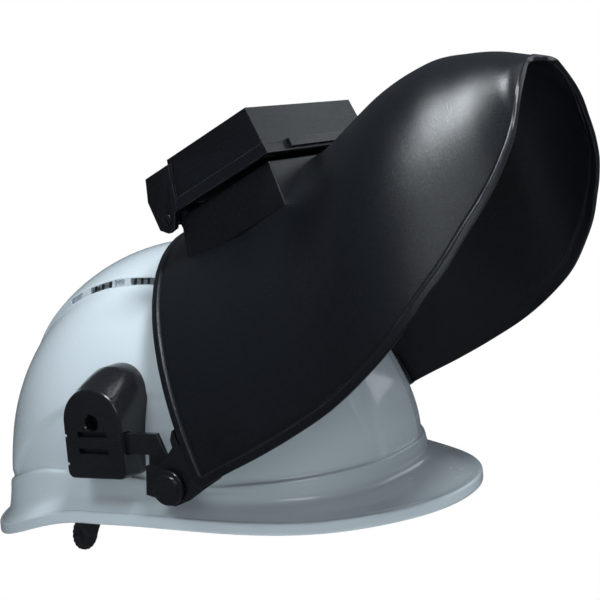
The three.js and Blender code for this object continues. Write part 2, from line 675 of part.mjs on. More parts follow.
function lidBody() {
  const { flange, wall, deep } = LID;
  const slope = deep / 3;
  let body = loft([
    rectangleAt(LID_HALF, LID_BACK + flange / 2, LID_BOTTOM, LID_TOP),
    rectangleAt(LID_HALF - 1, LID_FACE, LID_BOTTOM, LID_TOP - slope),
  ]);
  const lip = wall * 1.5;
  body = body.add(wornBox(LID_HALF + 1, LID_BACK, LID_FLANGE, LID_BOTTOM - 0.8, LID_TOP + lip));
  body = body.add(wornBox(LID_HALF * 0.63, LID_BACK + 1.2, LID_FLANGE, LID_BOTTOM - lip, LID_BOTTOM));
  const { half, low, high } = LID_SEAT;
  body = body.subtract(wornBox(half, LID_BACK - 1, LID_FACE - wall, low, high));
  body = body.subtract(wornBox(SIGHT.half, LID_FACE - 2 * wall, LID_FACE + 1, low + 4, high - 3.8));
  const { lug, lugAt, lugHalf, lugRoot, ear: long, pin } = HINGE;
  const ear = EAR.map(([y, w]) => [y * long - PIN.f, w * long + PIN.w]);
  for (const side of [-1, 1]) {
    body = body.add(alongX(ear, side * (LID_HALF - wall), side * (LID_HALF + lip / 2)));
    const notch = wornBox(lugHalf * 2, PIN.f - lug * 1.3, PIN.f + lugRoot, PIN.w - lug * 1.5, PIN.w + lug);
    body = body.subtract(notch.translate([side * lugAt, 0, 0]));
  }
  const bar = wornBox(LID_HALF / 2, LID_BACK + 1, LID_FLANGE, LID_TOP + 1, PIN.w - GAP);
  return body.add(bar).subtract(rodAlongX(pin + GAP, -LID_HALF - lug, LID_HALF + lug, -PIN.f, PIN.w));
}

// The object

const root = new THREE.Group();
const worn = new THREE.Group();
const lift = THREE.MathUtils.degToRad(LIFT);
const { f: ahead, w: above } = SHIELD_FROM_PIVOT;
const raisedY = PIVOT.y - ahead * Math.cos(lift) + above * Math.sin(lift);
const raisedZ = PIVOT.z + ahead * Math.sin(lift) + above * Math.cos(lift);
worn.position.set(0, raisedY, raisedZ);
worn.rotation.x = -lift;
root.add(worn);
const lid = new THREE.Group();
lid.position.set(0, -PIN.f, PIN.w);
worn.add(lid);
const toLid = [0, PIN.f, -PIN.w];

function add(group, name, solid, skin) {
  const material = new THREE.MeshStandardMaterial(SKINS[skin]);
  const mesh = new THREE.Mesh(geometryOf(solid), material);
  mesh.name = name;
  group.add(mesh);
}

const clearance = hatOutside(0, GAP);
const inside = hatInside(GAP);
add(root, "hat_shell", hatShell(), "shell");
add(root, "headband", headband(), "harness");
add(root, "nape_knob", knob(), "harness");
KEY_TURNS.forEach((turn, i) => add(root, "key_" + (i + 1), key(turn, inside), "harness"));
add(root, "strap_1", strap(KEY_TURNS[0], KEY_TURNS[2], 0), "webbing");
add(root, "strap_2", strap(KEY_TURNS[1], KEY_TURNS[3], STRAP.thick + 1), "webbing");

const wallRoom = shieldShell(SHIELD.wall + 2 * GAP, BRACKET.long * 0.8);
const outer = wallRoom.add(wallRoom.translate([0, 0, 3 * GAP]));
for (const [label, side] of [["R", -1], ["L", 1]]) {
  add(root, "adapter_" + label, adapter(side, clearance), "gloss");
  add(root, "arm_" + label, arm(side), "gloss");
  add(root, "pivot_bolt_" + label, pivotBolt(side), "gloss");
  add(worn, "bracket_" + label, bracket(side, outer), "gloss");
  bracketScrews().forEach(([f, w], i) => {
    add(worn, "bracket_screw_" + label + (i + 1), bracketScrew(side, f, w), "gloss");
  });
}

const plateFront = FACE - PLATE.frame - GAP;
const plateLow = SIGHT_TOP - SIGHT.high - PLATE.lap;
const plateHigh = SIGHT_TOP + PLATE.lap;
const plate = wornBox(FILTER.half, plateFront - PLATE.thick, plateFront, plateLow, plateHigh);
const keeper = frame(FILTER.half, plateLow, plateHigh, PLATE.lap, FACE - PLATE.frame, FACE);
const ends = LID_HALF + LID.wall * 0.65;
add(worn, "shield", shieldBody(), "shield");
add(worn, "clear_plate", plate, "clear");
add(worn, "plate_frame", keeper, "harness");
add(worn, "hinge_pin", rodAlongX(HINGE.pin, -ends, ends, -PIN.f, PIN.w), "steel");

const filterFront = LID_FACE - LID.wall - GAP;
const filterBack = filterFront - FILTER.thick;
const { half: seatHalf, low: seatLow, high: seatHigh } = LID_SEAT;
const glass = wornBox(FILTER.half, filterBack, filterFront, seatLow + 0.5, seatLow + FILTER.high - 0.5);
const clipFront = filterBack - GAP;
const clip = frame(seatHalf - GAP, seatLow + GAP, seatHigh - GAP, 4, clipFront - 1.6, clipFront);
add(lid, "lid", lidBody().translate(toLid), "shield");
add(lid, "filter_plate", glass.translate(toLid), "filter");
add(lid, "filter_clip", clip.translate(toLid), "harness");

export default root;
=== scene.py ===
import json
import math
from functools import partial

import bmesh
import bpy
import numpy as np
from mathutils import Matrix, Vector


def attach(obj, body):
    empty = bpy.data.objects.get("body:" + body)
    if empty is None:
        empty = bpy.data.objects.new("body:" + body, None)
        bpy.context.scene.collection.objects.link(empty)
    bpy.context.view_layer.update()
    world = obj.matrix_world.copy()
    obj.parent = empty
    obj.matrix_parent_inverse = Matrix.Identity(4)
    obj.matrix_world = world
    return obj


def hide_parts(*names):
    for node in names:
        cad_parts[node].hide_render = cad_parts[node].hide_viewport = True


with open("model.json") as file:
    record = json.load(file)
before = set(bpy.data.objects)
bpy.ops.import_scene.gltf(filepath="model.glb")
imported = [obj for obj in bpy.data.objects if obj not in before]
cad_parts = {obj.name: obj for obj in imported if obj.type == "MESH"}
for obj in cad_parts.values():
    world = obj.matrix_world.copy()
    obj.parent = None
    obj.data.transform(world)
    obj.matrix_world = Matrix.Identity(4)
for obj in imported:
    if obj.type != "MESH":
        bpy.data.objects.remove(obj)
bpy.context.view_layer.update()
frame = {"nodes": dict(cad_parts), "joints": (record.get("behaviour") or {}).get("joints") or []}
MM = 0.001

# Sizes of the hat, in millimetres
WALL = 3.0
CROWN = 137.0
RIM = {"half": 109.0, "front": 154.0, "rear": 130.0, "power": 2.12}
LEDGE = {"half": 98.0, "front": 119.0, "rear": 117.5, "power": 2.3}
LIP = 6.5
EAR_ARCH = 7.5
NAPE_DROP = 14.5
LEDGE_RISE = {"front": 24.5, "ear": 23.5, "rear": 23.5}
RIDGE = {"raise": 4.5, "half": 47.0, "slope": 1.9}

# Stretches of the ridge's side, along y: open vents with bars in them, and blind recesses
VENT = {
    "open": ((-13.0, 13.0), (25.0, 40.5)),
    "blind": ((17.0, 24.0), (47.5, 57.0)),
    "low": 0.12,
    "high": 0.84,
}
BAR = {"pitch": 4.3, "thick": 0.9, "set": 0.9, "deep": 1.6}
BLIND_DEPTH = 2.2

# Sizes of the shield in its worn frame: f is forward and w is up, from a point close to the pivot
FROM_PIVOT = (4.3, 0.9)
SHIELD = {"drop": 228.5, "half": 131.0, "reach": 126.0, "wall": 2.4, "shoulder": -17.6, "brow": -8.5}
CORNER_HALF = 119.7

# Power of the shield's cross-section: 2 is an ellipse, and less is more pointed
ROUND = {"brow": 1.88, "lens": 1.63, "chin": 2.42}
SHIELD_TABLE = np.array([
    [0.061, 0.863, -0.095, 0.941],
    [0.153, 0.878, -0.091, 0.933],
    [0.263, 0.916, -0.091, 0.929],
    [0.363, 0.954, -0.083, 0.929],
    [0.481, 0.992, -0.06, 0.928],
    [0.569, 1.0, -0.02, 0.942],
    [0.656, 0.973, 0.04, 0.96],
    [0.722, 0.916, 0.111, 0.975],
    [0.788, 0.828, 0.19, 0.979],
    [0.832, 0.752, 0.258, 0.972],
    [0.875, 0.668, 0.325, 0.941],
    [0.919, 0.565, 0.413, 0.902],
    [0.958, 0.435, 0.532, 0.851],
    [0.985, 0.317, 0.663, 0.813],
    [1.0, 0.168, 0.77, 0.79],
])
BEAD = {"inset": 5.0, "high": 0.8, "groove": 0.35}
FACE = 117.5
HOUSING = {"half": 57.0, "top": -39.0, "bottom": -99.5, "deep": 24.5, "flare": 3.0, "wall": 2.4}
SIGHT = {"half": 51.0, "top": -45.0, "bottom": -92.0, "lap": 2.3}
PLATE_ROOM = {"half": 54.3, "deep": 4.5}
LUG = {"at": 47.0, "half": 5.0, "radius": 3.8, "root": 12.0, "pin": 2.3}
LID_SIDE = 60.0
PIN_AT = (119.1, -33.7)
ADAPTER = {
    "out": 114.0,
    "low": 32.2,
    "half": 18.0,
    "face": 0.6,
    "shoulder": 68.5,
    "slope": 7.0,
    "least_base": 93.0,
    "foot_corner": 2.5,
    "front_corner": 3.5,
}
SOCKET = {"radius": 4.0, "deep": 7.0, "drop": 7.1}
SLOT = {"half": 9.0, "high": 2.8, "deep": 2.5, "drops": (14.3, 22.8)}
ARM_SLOT = {"low": 12.6, "high": 24.3, "end": -5.2, "deep": 7.3, "wall": 3.1}
NOTCH = {"heights": (39.5, 54.0), "high": 1.5, "into": 1.8, "deep": 4.5}
KNOB = {"radius": 10.5, "depth": 5.4, "y": 95.3, "z": -33.0, "ribs": 20}
EAR_SCREW = {"radius": 3.0, "high": 0.9, "ear": 1.7, "slot_half": 0.35}

# Joint places come from the frame
JOINTS = {joint["name"]: joint for joint in frame["joints"]}
PIVOT = np.array(JOINTS["shield_lift"]["pos_m"]) / MM
LIFT = math.radians(max(JOINTS["shield_lift"]["range_deg"]))


# Meshes

def from_worn(points):
    """Points [x, f, w] of the worn shield, as points of the raised one."""
    x, f, w = np.moveaxis(np.asarray(points, float), -1, 0)
    f = f + FROM_PIVOT[0]
    w = w + FROM_PIVOT[1]
    y = PIVOT[1] - f * math.cos(LIFT) + w * math.sin(LIFT)
    z = PIVOT[2] + f * math.sin(LIFT) + w * math.cos(LIFT)
    return np.stack([x, y, z], axis=-1)


def mesh_object(name, points, faces):
    mesh = bpy.data.meshes.new(name)
    mesh.from_pydata((np.asarray(points, float).reshape(-1, 3) * MM).tolist(), [], faces)
    mesh.update()
    made = bpy.data.objects.new(name, mesh)
    bpy.context.scene.collection.objects.link(made)
    return made


def fix_normals(made):
    work = bmesh.new()
    work.from_mesh(made.data)
    bmesh.ops.remove_doubles(work, verts=work.verts, dist=1e-6)
    bmesh.ops.recalc_face_normals(work, faces=work.faces)
    work.to_mesh(made.data)
    work.free()


def smooth(made, angle=35):
    made.data.shade_smooth()
    made.data.set_sharp_from_angle(angle=math.radians(angle))
    return made


def bake(made):
    """Applies the modifiers of a piece."""
    graph = bpy.context.evaluated_depsgraph_get()
    mesh = bpy.data.meshes.new_from_object(made.evaluated_get(graph))
    made.modifiers.clear()
    made.data = mesh
    return made


def cut(made, other, operation="DIFFERENCE"):
    step = made.modifiers.new("cut", "BOOLEAN")
    step.operation = operation
    step.solver = "EXACT"
    step.object = other
    bake(made)
    bpy.data.objects.remove(other)
    return made


def bevel(made, width, segments=3, angle=30):
    step = made.modifiers.new("bevel", "BEVEL")
    step.width = width * MM
    step.segments = segments
    step.limit_method = "ANGLE"
    step.angle_limit = math.radians(angle)
    step.miter_outer = "MITER_ARC"
    return bake(made)


def soften_cad(node, width):
    """Rounds the edges of a carried-over node with modifiers that stay on it."""
    made = frame["nodes"][node]
    weld = made.modifiers.new("weld", "WELD")
    weld.merge_threshold = 0.00001
    flat = made.modifiers.new("flat", "DECIMATE")
    flat.decimate_type = "DISSOLVE"
    flat.angle_limit = math.radians(1.5)
    edge = made.modifiers.new("edge", "BEVEL")
    edge.width = width * MM
    edge.segments = 3
    edge.limit_method = "ANGLE"
    edge.angle_limit = math.radians(28)
    edge.harden_normals = True
    made.data.shade_smooth()
    return made


def lofted(name, rings):
    """A closed body through rings of equal length."""
    count = len(rings[0])
    points = np.concatenate([np.asarray(ring, float) for ring in rings])
    faces = []
    for k in range(len(rings) - 1):
        for i in range(count):
            a, b = k * count + i, k * count + (i + 1) % count
            faces.append((a, b, b + count, a + count))
    faces.append(tuple(range(count)))
    faces.append(tuple(range(len(points) - 1, len(points) - 1 - count, -1)))
    made = mesh_object(name, points, faces)
    fix_normals(made)
    return made


def block(name, low, high, placed=None):
    """A box between two corners; placed moves its corners."""
    (x0, y0, z0), (x1, y1, z1) = low, high
    rings = [[(x, y0, z0), (x, y1, z0), (x, y1, z1), (x, y0, z1)] for x in (x0, x1)]
    if placed is not None:
        rings = [placed(ring) for ring in rings]
    return lofted(name, rings)


def disc(name, centre, profile, sides=64):
    """A body of revolution about X. The profile holds (radius, x) pairs."""
    turns = np.linspace(0, 2 * math.pi, sides, endpoint=False)
    rings = []
    for radius, x in profile:
        rings.append(np.stack([np.full(sides, x), centre[0] + radius * np.cos(turns),
                               centre[1] + radius * np.sin(turns)], axis=-1))
    return lofted(name, rings)


def joined(parts, name):
    """One piece from several objects."""
    work = bmesh.new()
    for part in parts:
        work.from_mesh(part.data)
    mesh = bpy.data.meshes.new(name)
    work.to_mesh(mesh)
    work.free()
    for part in parts:
        bpy.data.objects.remove(part)
    made = bpy.data.objects.new(name, mesh)
    bpy.context.scene.collection.objects.link(made)
    return made


def settle(made, body, material, nodes=()):
    """Gives a finished piece its body, its material and the nodes that it stands for."""
    made.data.materials.clear()
    made.data.materials.append(material)
    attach(made, body)
    if nodes:
        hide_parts(*nodes)
    return made


def ease(a, b, share):
    t = np.clip(share, 0, 1)
    return a + (b - a) * t * t * (3 - 2 * t)


# Materials

class Nodes:
    """A short way to write a material's node tree."""

    def __init__(self, name):
        self.material = bpy.data.materials.new(name)
        self.material.use_nodes = True
        self.tree = self.material.node_tree
        self.shader = self.tree.nodes["Principled BSDF"]
        self.place = self.add("ShaderNodeTexCoord").outputs["Object"]

    def add(self, kind, **values):
        node = self.tree.nodes.new(kind)
        for key, value in values.items():
            setattr(node, key, value)
        return node

    def link(self, source, target):
        self.tree.links.new(source, target)

    def set(self, **values):
        for key, value in values.items():
            self.shader.inputs[key.replace("_", " ")].default_value = value

    def noise(self, scale, detail=2.0, rough=0.5, stretch=None):
        node = self.add("ShaderNodeTexNoise")
        node.inputs["Scale"].default_value = scale
        node.inputs["Detail"].default_value = detail
        node.inputs["Roughness"].default_value = rough
        source = self.place
        if stretch is not None:
            mapping = self.add("ShaderNodeMapping")
            mapping.inputs["Scale"].default_value = stretch
            self.link(self.place, mapping.inputs["Vector"])
            source = mapping.outputs["Vector"]
        self.link(source, node.inputs["Vector"])
        return node.outputs["Fac"]

    def grain(self, scale):
        node = self.add("ShaderNodeTexVoronoi")
        node.inputs["Scale"].default_value = scale
        self.link(self.place, node.inputs["Vector"])
        return node.outputs["Distance"]

    def span(self, source, low, high, start=0.0, end=1.0):
        node = self.add("ShaderNodeMapRange")
        for key, value in (("From Min", start), ("From Max", end), ("To Min", low), ("To Max", high)):
            node.inputs[key].default_value = value
        self.link(source, node.inputs["Value"])
        return node.outputs["Result"]

    def math(self, operation, a, b):
        node = self.add("ShaderNodeMath", operation=operation)
        for socket, value in zip(node.inputs, (a, b)):
            if isinstance(value, (int, float)):
                socket.default_value = value
            else:
                self.link(value, socket)
        return node.outputs[0]

    def colours(self, source, low, high):
        node = self.add("ShaderNodeMix", data_type="RGBA")
        node.inputs["A"].default_value = (*low, 1)
        node.inputs["B"].default_value = (*high, 1)
        self.link(source, node.inputs["Factor"])
        return node.outputs["Result"]

    def edges(self, radius):
        """1 along sharp edges and 0 on flat and slowly curved faces."""
        soft = self.add("ShaderNodeBevel", samples=4)
        soft.inputs["Radius"].default_value = radius
        plain = self.add("ShaderNodeNewGeometry")
        alike = self.add("ShaderNodeVectorMath", operation="DOT_PRODUCT")
        self.link(soft.outputs["Normal"], alike.inputs[0])
        self.link(plain.outputs["Normal"], alike.inputs[1])
        return self.span(alike.outputs["Value"], 1, 0, 0.8, 0.985)

    def bump(self, height, strength, distance):
        node = self.add("ShaderNodeBump")
        node.inputs["Strength"].default_value = strength
        node.inputs["Distance"].default_value = distance
        self.link(height, node.inputs["Height"])
        self.link(node.outputs["Normal"], self.shader.inputs["Normal"])

    def paint(self, source, low, high):
        self.link(self.colours(source, low, high), self.shader.inputs["Base Color"])

    def roughness(self, source):
        self.link(source, self.shader.inputs["Roughness"])


def shell_material():
    """White gloss plastic with a faint ripple, dust tint and fine rubs."""
    made = Nodes("shell")
    cloud = made.noise(14, 3)
    made.paint(cloud, (0.60, 0.67, 0.71), (0.67, 0.735, 0.77))
    rubs = made.noise(420, 2, 0.7, (0.25, 1.0, 4.0))
    made.roughness(made.span(rubs, 0.16, 0.30, 0.35, 0.75))
    made.set(Coat_Weight=0.6, Coat_Roughness=0.06)
    made.bump(made.noise(70, 2), 0.12, 0.0005)
    return made.material


def grained_material(name, low, high, gloss, grain, strength, wear_and_highlight_colour=(0.05, 0.055, 0.065)):
    """Moulded black plastic with a fine spark-eroded grain, painted paler along its sharp edges: partly edge
    wear, partly a painted highlight.
    """
    made = Nodes(name)
    cloud = made.noise(22, 3)
    plain = made.colours(cloud, low, high)
    # Paler colour along sharp edges: partly edge wear, partly a painted highlight where the edges catch the
    # light.
    wear_and_highlight_mask = made.math("MULTIPLY", made.edges(0.0009), made.span(made.noise(160, 3), 0.25, 1.0, 0.35, 0.6))
    wear_and_highlight_mix = made.add("ShaderNodeMix", data_type="RGBA")
    made.link(wear_and_highlight_mask, wear_and_highlight_mix.inputs["Factor"])
    made.link(plain, wear_and_highlight_mix.inputs["A"])
    wear_and_highlight_mix.inputs["B"].default_value = (*wear_and_highlight_colour, 1)
    made.link(wear_and_highlight_mix.outputs["Result"], made.shader.inputs["Base Color"])
    speck = made.noise(grain, 3, 0.65)
    made.roughness(made.span(speck, gloss - 0.12, gloss + 0.16, 0.3, 0.7))
    made.set(Specular_IOR_Level=0.5)
    made.bump(speck, strength, 0.00022)
    return made.material


def gloss_material():
    """Polished black plastic with fine rubs and a slow ripple."""
    made = Nodes("gloss")
    cloud = made.noise(30, 2)
    made.paint(cloud, (0.006, 0.006, 0.008), (0.014, 0.015, 0.018))
    rubs = made.noise(600, 2, 0.7, (1.0, 0.3, 3.0))
    made.roughness(made.span(rubs, 0.14, 0.34, 0.35, 0.8))
    made.set(Coat_Weight=0.25, Coat_Roughness=0.12)
    made.bump(made.noise(140, 2), 0.1, 0.0003)
    return made.material


def webbing_material():
    """Woven strap: ribs across the strap with a thread pattern."""
    made = Nodes("webbing")
    ribs = made.add("ShaderNodeTexWave", wave_type="BANDS", bands_direction="DIAGONAL")
    ribs.inputs["Scale"].default_value = 260
    ribs.inputs["Distortion"].default_value = 1.5
    made.link(made.place, ribs.inputs["Vector"])
    thread = made.grain(1300)
    height = made.math("ADD", ribs.outputs["Fac"], thread)
    made.paint(made.span(height, 0, 1, 0.3, 1.3), (0.012, 0.013, 0.015), (0.05, 0.053, 0.06))
    made.set(Roughness=0.85, Sheen_Weight=0.3, Sheen_Roughness=0.5)
    made.bump(height, 0.6, 0.0004)
    return made.material


def steel_material():
    """Drawn steel with fine lines along the pin."""
    made = Nodes("steel")
    drawn = made.noise(900, 2, 0.6, (0.05, 1.0, 1.0))
    made.paint(drawn, (0.36, 0.36, 0.38), (0.62, 0.62, 0.64))
    made.roughness(made.span(drawn, 0.2, 0.42, 0.3, 0.7))
    made.set(Metallic=1.0)
    made.bump(drawn, 0.15, 0.0002)
    return made.material


def filter_material():
    """Dark green filter glass with faint smears."""
    made = Nodes("filter")
    smear = made.noise(35, 4, 0.6, (1.0, 3.0, 1.0))
    made.paint(smear, (0.004, 0.016, 0.008), (0.008, 0.028, 0.014))
    made.roughness(made.span(smear, 0.03, 0.12, 0.4, 0.75))
    made.set(Coat_Weight=0.6, Coat_Roughness=0.04)
    return made.material


def clear_material():
    """Clear cover plate with dust and smears."""
    made = Nodes("clear")
    smear = made.noise(50, 4, 0.6, (1.0, 2.0, 1.0))
    made.paint(smear, (0.74, 0.8, 0.8), (0.86, 0.9, 0.9))
    made.roughness(made.span(smear, 0.03, 0.16, 0.4, 0.75))
    made.set(Transmission_Weight=0.92, IOR=1.49)
    return made.material


MATERIALS = {
    "shell": shell_material(),
    "gloss": gloss_material(),
    # The shield's last colour is its paler edge colour: edge wear and a painted edge highlight.
    "shield": grained_material("shield", (0.0045, 0.0055, 0.0075), (0.0075, 0.009, 0.012), 0.3, 2300, 0.5,
                               (0.07, 0.077, 0.088)),
    "harness": grained_material("harness", (0.012, 0.012, 0.014), (0.022, 0.022, 0.025), 0.5, 900, 0.25),
    "grille": grained_material("grille", (0.012, 0.010, 0.008), (0.035, 0.028, 0.02), 0.5, 900, 0.25),
    "webbing": webbing_material(),
    "steel": steel_material(),
    "filter": filter_material(),
    "clear": clear_material(),
}


# Curves of the hat

def plan_point(plan, turn, shrink=0.0):
    c, s = np.cos(turn), np.sin(turn)
    along = np.where(s > 0, plan["rear"], plan["front"]) - shrink
    power = 2 / plan["power"]
    x = (plan["half"] - shrink) * np.sign(c) * np.abs(c) ** power
    y = along * np.sign(s) * np.abs(s) ** power
    return x, y


def mixed_plan(share):
    return {key: RIM[key] + (LEDGE[key] - RIM[key]) * share for key in RIM}


def rim_height(y):
    front = ease(EAR_ARCH, 0, (-y / RIM["front"] - 0.03) / 0.75)
    return np.where(y < 0, front, ease(EAR_ARCH, -NAPE_DROP, (y / RIM["rear"] - 0.115) / 0.81))


def ledge_height(y):
    ear = EAR_ARCH + LEDGE_RISE["ear"]
    front = ease(ear, LEDGE_RISE["front"], (-y / RIM["front"] + 0.03) / 0.39)
    rear = ease(ear, LEDGE_RISE["rear"] - NAPE_DROP, (y / RIM["rear"] - 0.31) / 0.73)
    return np.where(y < 0, front, rear)


def dome_height(x, y, inset=0.0, lift=0.0):
    """Height of the dome over a point of the plan, for its outside or a surface inset from it."""
    shrink = inset + WALL / 2
    along = np.where(y > 0, LEDGE["rear"], LEDGE["front"]) - shrink
    side = LEDGE["half"] - shrink
    half_power = LEDGE["power"] / 2
    a, b = (np.abs(x) / side) ** half_power, (np.abs(y) / along) ** half_power
    turn = np.arctan2(b, a)
    out = (a * a + b * b) ** (1 / LEDGE["power"])
    endwise = np.sin(turn)
    power = 2 / (1.95 + np.where(y > 0, 0.12, -0.2) * endwise)
    foot_y = np.sign(y) * along * endwise ** (1 / half_power)
    foot = ledge_height(foot_y) + 0.65 * WALL - 0.6 * max(0.0, inset)
    climb = np.arccos(np.clip(out, 0, 1) ** (1 / power))
    return foot + (CROWN + lift - inset - foot) * np.sin(climb) ** power


def ridge_reach(x, y):
    """Distance from the middle to the ridge's outline, in the direction of (x, y)."""
    front, rear, half = LEDGE["front"], LEDGE["rear"], RIDGE["half"]
    corners = [(half * 0.62, rear * 0.885), (half, rear * 0.36), (half, front * -0.46)]
    corners.append((half * 0.7, front * -0.94))
    corners = corners + [(-a, b) for a, b in corners[::-1]]
    length = np.hypot(x, y)
    total = np.zeros_like(length)
    sharpness = 26
    for (ax, ay), (bx, by) in zip(corners, corners[1:] + corners[:1]):
        nx, ny = by - ay, ax - bx
        offset = nx * ax + ny * ay
        toward = (nx * x + ny * y) / length / offset
        total += np.maximum(toward, 0) ** sharpness
    return total ** (-1 / sharpness)


def catmull(rows, steps):
    """More rows between given ones, on a smooth curve. steps holds the count for each gap."""
    rows = [rows[0]] + list(rows) + [rows[-1]]
    made = []
    for k, count in enumerate(steps):
        a, b, c, d = rows[k:k + 4]
        for t in np.arange(count) / count:
            made.append(0.5 * (2 * b + (c - a) * t + (2 * a - 5 * b + 4 * c - d) * t ** 2
                               + (3 * b - a - 3 * c + d) * t ** 3))
    made.append(rows[-2])
    return made


def relief(points):
    """Outward relief of the dome: the long crease on each side and the panel over the peak."""
    x, y, z = np.moveaxis(points, -1, 0)
    crease = 71 - 0.0038 * (y + 12) ** 2 - 0.00002 * np.maximum(y, 0) ** 3
    above = ease(0, 1, (z - crease + 1.6) / 3.2)
    fade = ease(0, 1, (y + 62) / 40) * ease(0, 1, (118 - y) / 30)
    side = ease(0, 1, (np.abs(x) - 12) / 20)
    lower = ease(1, 0, (z - crease - 2) / 30)
    step = 1.1 * above * fade * side * lower
    panel = ease(1, 0, (np.abs(x) - 21) / 3) * ease(1, 0, (y + 70) / 25)
    high = ease(1, 0, (z - 84) / 12)
    return step + 1.5 * panel * high


# Hat shell

def plan_row(turn, plan, shrink, height):
    x, y = plan_point(plan, turn, shrink)
    return np.stack([x, y, height(y)], axis=-1)


def shell_rows():
    """Rows of points from the inner rim, round the lip, over the dome to the middle of the crown."""
    columns = 300
    turn = (np.arange(columns) + 0.5) * 2 * math.pi / columns
    middle = mixed_plan(0.5)
    gutter = mixed_plan(0.2)
    row = partial(plan_row, turn)

    def over_rim(rise):
        return lambda y: rim_height(y) + rise

    lip = [
        row(RIM, WALL, over_rim(0.0)),
        row(RIM, 1.4, over_rim(-0.05)),
        row(RIM, 0.45, over_rim(0.3)),
        row(RIM, 0.0, over_rim(1.3)),
        row(RIM, 0.0, over_rim(LIP * 0.5)),
        row(RIM, 0.0, over_rim(LIP * 0.82)),
        row(RIM, 0.5, over_rim(LIP * 0.97)),
        row(RIM, 1.8, over_rim(LIP * 1.0)),
        row(gutter, -0.4, over_rim(LIP * 0.98)),
        row(middle, -1.0, over_rim(LIP * 1.34)),
        row(LEDGE, -WALL, over_rim(LIP * 1.92)),
        row(LEDGE, -WALL * 0.45, lambda y: (ledge_height(y) + rim_height(y) + LIP) / 2 + 3),
        row(LEDGE, -WALL / 4, lambda y: ledge_height(y) - WALL * 0.8),
        row(LEDGE, -0.1, lambda y: ledge_height(y) - 0.25),
        row(LEDGE, 0.8, lambda y: ledge_height(y) + 0.2),
        row(LEDGE, 1.45, lambda y: ledge_height(y) + 0.9),
    ]
    outer = catmull(lip, [2, 2, 2, 2, 2, 2, 2, 3, 5, 6, 4, 4, 3, 2, 2])

    x, y = plan_point(LEDGE, turn, WALL / 2)
    foot = np.stack([x, y], axis=-1)
    reach = np.hypot(x, y)
    ridge = ridge_reach(x, y)
    heading = foot / reach[:, None]
    out = foot * (ridge / reach)[:, None]

    def dome_row(flat, lift=0.0):
        return np.column_stack([flat, dome_height(flat[:, 0], flat[:, 1], 0.0, lift)])

    side_rows = 46
    trough = RIDGE["slope"] + 0.8
    start = out + heading * trough
    for k in range(1, side_rows):
        share = math.sin(math.pi / 2 * (1 - k / side_rows)) ** 0.9
        outer.append(dome_row(start + (foot - start) * share))
    slope = RIDGE["slope"]
    steps = [(slope + 0.25, -0.01), (slope, 0.0), (slope - 0.2, 0.07), (slope * 0.75, 0.28),
             (slope * 0.5, 0.53), (slope * 0.25, 0.77), (0.35, 0.92), (-0.15, 0.975),
             (-0.8, 0.995), (-1.4, 1.0)]
    for offset, lift in steps:
        outer.append(dome_row(out + heading * offset, RIDGE["raise"] * lift))
    crown_rows = 20
    edge = out - heading * 1.5
    for k in range(1, crown_rows):
        outer.append(dome_row(edge * (1 - k / crown_rows) ** 0.9, RIDGE["raise"]))
    return outer, turn


def inner_rows(turn):
    """Rows of the shell's inside, from the middle of the crown down to the rim."""
    middle = mixed_plan(0.5)
    row = partial(plan_row, turn)
    rows = []
    count = 26
    x, y = plan_point(LEDGE, turn, WALL + WALL / 2)
    foot = np.stack([x, y], axis=-1)
    for k in range(1, count + 1):
        flat = foot * math.sin(math.pi / 2 * k / count)
        rows.append(np.column_stack([flat, dome_height(flat[:, 0], flat[:, 1], WALL)]))
    below = [
        rows[-1],
        row(LEDGE, WALL * 0.67, lambda y: ledge_height(y) - WALL),
        row(LEDGE, WALL * 0.33, lambda y: rim_height(y) + LIP * 1.46),
        row(middle, WALL * 0.67, lambda y: rim_height(y) + LIP * 0.88),
        row(RIM, WALL, lambda y: rim_height(y) + LIP * 0.4),
        row(RIM, WALL, lambda y: rim_height(y) + 1.0),
    ]
    return rows[:-1] + catmull(below, [2, 5, 4, 4, 2])


def ridge_side(y, offset):
    """How far out the ridge's outline is at y, moved out by an offset, by halving."""
    low, high = 5.0, 75.0
    for _ in range(30):
        middle = (low + high) / 2
        at = np.array([middle])
        beyond = float(np.hypot(middle, y) - ridge_reach(at, np.array([y]))[0])
        low, high = (middle, high) if beyond < offset else (low, middle)
    return low


def ridge_face(y):
    """Foot and head of the ridge's sloped side at y, as points [x, z]."""
    out = ridge_side(y, RIDGE["slope"])
    top = ridge_side(y, 0.3)
    foot = [out, float(dome_height(np.array([out]), np.array([y]))[0])]
    head = [top, float(dome_height(np.array([top]), np.array([y]), 0.0, RIDGE["raise"])[0])]
    return np.array(foot), np.array(head)


def face_body(name, side, start, end, reach, depth, low=None, high=None):
    """A body along the ridge's side between two places in y, from reach outside it to depth inside."""
    low = VENT["low"] if low is None else low
    high = VENT["high"] if high is None else high
    rings = []
    for y in np.linspace(start, end, max(2, int((end - start) / 1.5))):
        foot, head = ridge_face(y)
        along = head - foot
        inward = np.array([-along[1], along[0]]) / np.hypot(*along)
        a, b = foot + along * low, foot + along * high
        section = [a - inward * reach, b - inward * reach, b + inward * depth, a + inward * depth]
        rings.append([(side * x, y, z) for x, z in section])
    return lofted(name, rings)


def vent_cutters():
    """Bodies that cut the open vents through the shell and sink the blind ones."""
    parts = []
    for side in (-1, 1):
        for start, end in VENT["open"]:
            parts.append(face_body("vent", side, start, end, 4.0, 12.0))
        for start, end in VENT["blind"]:
            parts.append(face_body("blind", side, start, end, 4.0, BLIND_DEPTH))
    return bevel(joined(parts, "vents"), 0.35, 2, 50)


